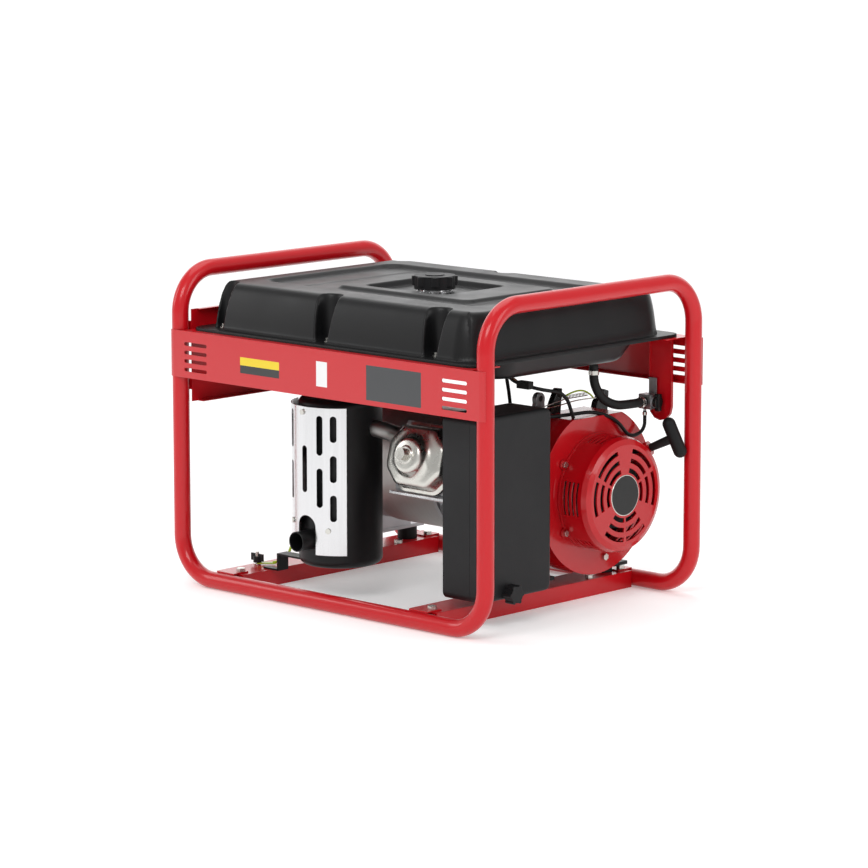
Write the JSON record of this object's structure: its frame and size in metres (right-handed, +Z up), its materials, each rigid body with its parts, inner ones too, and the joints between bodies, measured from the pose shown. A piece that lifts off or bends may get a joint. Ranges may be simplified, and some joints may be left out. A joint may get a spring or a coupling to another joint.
{
  "type": "portable generator",
  "caption": "Portable petrol generator in an open tube frame, with top fuel tank, recoil-start engine and alternator.",
  "frame": {"origin": "on the floor under the middle of the frame", "axes": "+X towards the recoil starter, +Z up, -Y towards the muffler side"},
  "size_m": [0.7186, 0.5306, 0.54],
  "materials": {
    "red_paint": "gloss",
    "black_paint": "satin",
    "engine_red": "gloss",
    "dark_plastic": "matte",
    "zinc": "satin",
    "bright_steel": "polished",
    "dull_steel": "satin",
    "cast_alu": "cast",
    "rotor_steel": "satin",
    "rubber": "matte",
    "socket_plastic": "gloss",
    "ceramic": "gloss",
    "filter_foam": "matte",
    "cord_black": "matte",
    "earth_wire": "gloss"
  },
  "bodies": {
    "chassis": {"air_cleaner_case": "dark_plastic", "air_element": "filter_foam", "alternator_adapter": "cast_alu", "alternator_end_bell": "cast_alu", "alternator_stator": "dull_steel", "carburetor": "cast_alu", "crankcase": "cast_alu", "cross_member_left": "red_paint", "cross_member_right": "red_paint", "cylinder": "cast_alu", "cylinder_head": "cast_alu", "engine_bolts": "zinc", "engine_harness": "cord_black", "engine_rails": "black_paint", "exhaust_elbow": "dull_steel", "fan_cover": "engine_red", "filler_neck": "bright_steel", "frame_loop_left": "red_paint", "frame_loop_right": "red_paint", "fuel_hose": "rubber", "fuel_line": "rubber", "fuel_valve": "cast_alu", "ground_stud": "zinc", "ground_wire": "earth_wire", "hose_clips": "zinc", "intake_elbow": "dark_plastic", "lower_shroud": "bright_steel", "muffler_body": "black_paint", "muffler_bracket": "black_paint", "muffler_shield": "bright_steel", "outlet_sockets": "socket_plastic", "panel_back": "red_paint", "panel_front": "red_paint", "panel_left": "red_paint", "piston": "cast_alu", "recoil_housing": "engine_red", "rocker_cover": "zinc", "rubber_mounts": "rubber", "spark_plug": "ceramic", "spark_plug_cap": "rubber", "starter_rope": "cord_black", "tank_bolts": "zinc", "tank_lower": "black_paint", "tank_upper": "black_paint", "valve_bracket": "red_paint"},
    "crank_train": {"crankshaft": "dull_steel", "flywheel": "cast_alu", "alternator_rotor": "rotor_steel"},
    "starter_pulley": {"recoil_pulley": "dark_plastic"},
    "starter_grip": {"pull_handle": "rubber"},
    "filler_cap": {"fuel_cap": "dark_plastic"},
    "valve_lever": {"fuel_valve_lever": "socket_plastic"},
    "choke": {"choke_lever": "dark_plastic"},
    "throttle": {"throttle_arm": "zinc"},
    "cleaner_cover": {"air_cleaner_cover": "dark_plastic"},
    "cleaner_knob": {"air_cleaner_knob": "dark_plastic"},
    "dipstick": {"oil_dipstick": "socket_plastic"},
    "earth_knob": {"ground_knob": "zinc"},
    "rocker_switch": {"engine_switch": "socket_plastic"},
    "breaker": {"breaker_button": "socket_plastic"}
  },
  "joints": [
    {"name": "crank_spin", "type": "hinge", "parent": "chassis", "child": "crank_train", "pos_m": [0, 0.12, 0.181], "axis": [1, 0, 0], "continuous": true},
    {"name": "handle_pull", "type": "slide", "parent": "chassis", "child": "starter_grip", "axis": [0.9403, -0.06, 0.3351], "range_m": [0, 0.5], "deforming": ["starter_rope"]},
    {"name": "pulley_spin", "type": "hinge", "parent": "chassis", "child": "starter_pulley", "pos_m": [0.282, 0.12, 0.181], "axis": [1, 0, 0], "range_deg": [-520, 0]},
    {"name": "cap_lift", "type": "slide", "parent": "chassis", "child": "filler_cap", "axis": [0, 0, 1], "range_m": [0, 0.05]},
    {"name": "valve_turn", "type": "hinge", "parent": "chassis", "child": "valve_lever", "pos_m": [0.285, 0.224, 0.32], "axis": [1, 0, 0], "range_deg": [0, 90]},
    {"name": "choke_turn", "type": "hinge", "parent": "chassis", "child": "choke", "pos_m": [0.192, -0.10179, 0.29416], "axis": [0, 0, 1], "range_deg": [0, 30]},
    {"name": "throttle_turn", "type": "hinge", "parent": "chassis", "child": "throttle", "pos_m": [0.182, -0.12179, 0.29416], "axis": [0, 0, 1], "range_deg": [-15, 15]},
    {"name": "cover_off", "type": "slide", "parent": "chassis", "child": "cleaner_cover", "axis": [1, 0, 0], "range_m": [0, 0.045]},
    {"name": "knob_turn", "type": "hinge", "parent": "cleaner_cover", "child": "cleaner_knob", "pos_m": [0.29, -0.129, 0.052], "axis": [1, 0, 0], "continuous": true},
    {"name": "dipstick_turn", "type": "hinge", "parent": "chassis", "child": "dipstick", "pos_m": [0.11, 0.006, 0.09], "axis": [0, 1, 0], "continuous": true},
    {"name": "earth_knob_turn", "type": "hinge", "parent": "chassis", "child": "earth_knob", "pos_m": [-0.262, -0.157, 0.038], "axis": [0, 0, 1], "continuous": true},
    {"name": "switch_rock", "type": "hinge", "parent": "chassis", "child": "rocker_switch", "pos_m": [-0.335, 0.132, 0.39], "axis": [0, 1, 0], "range_deg": [-12, 12]},
    {"name": "breaker_push", "type": "slide", "parent": "chassis", "child": "breaker", "axis": [1, 0, 0], "range_m": [0, 0.004]}
  ],
  "couplings": [
    {"joint": "pulley_spin", "follows": "handle_pull", "rad_per_m": -17.5}
  ]
}
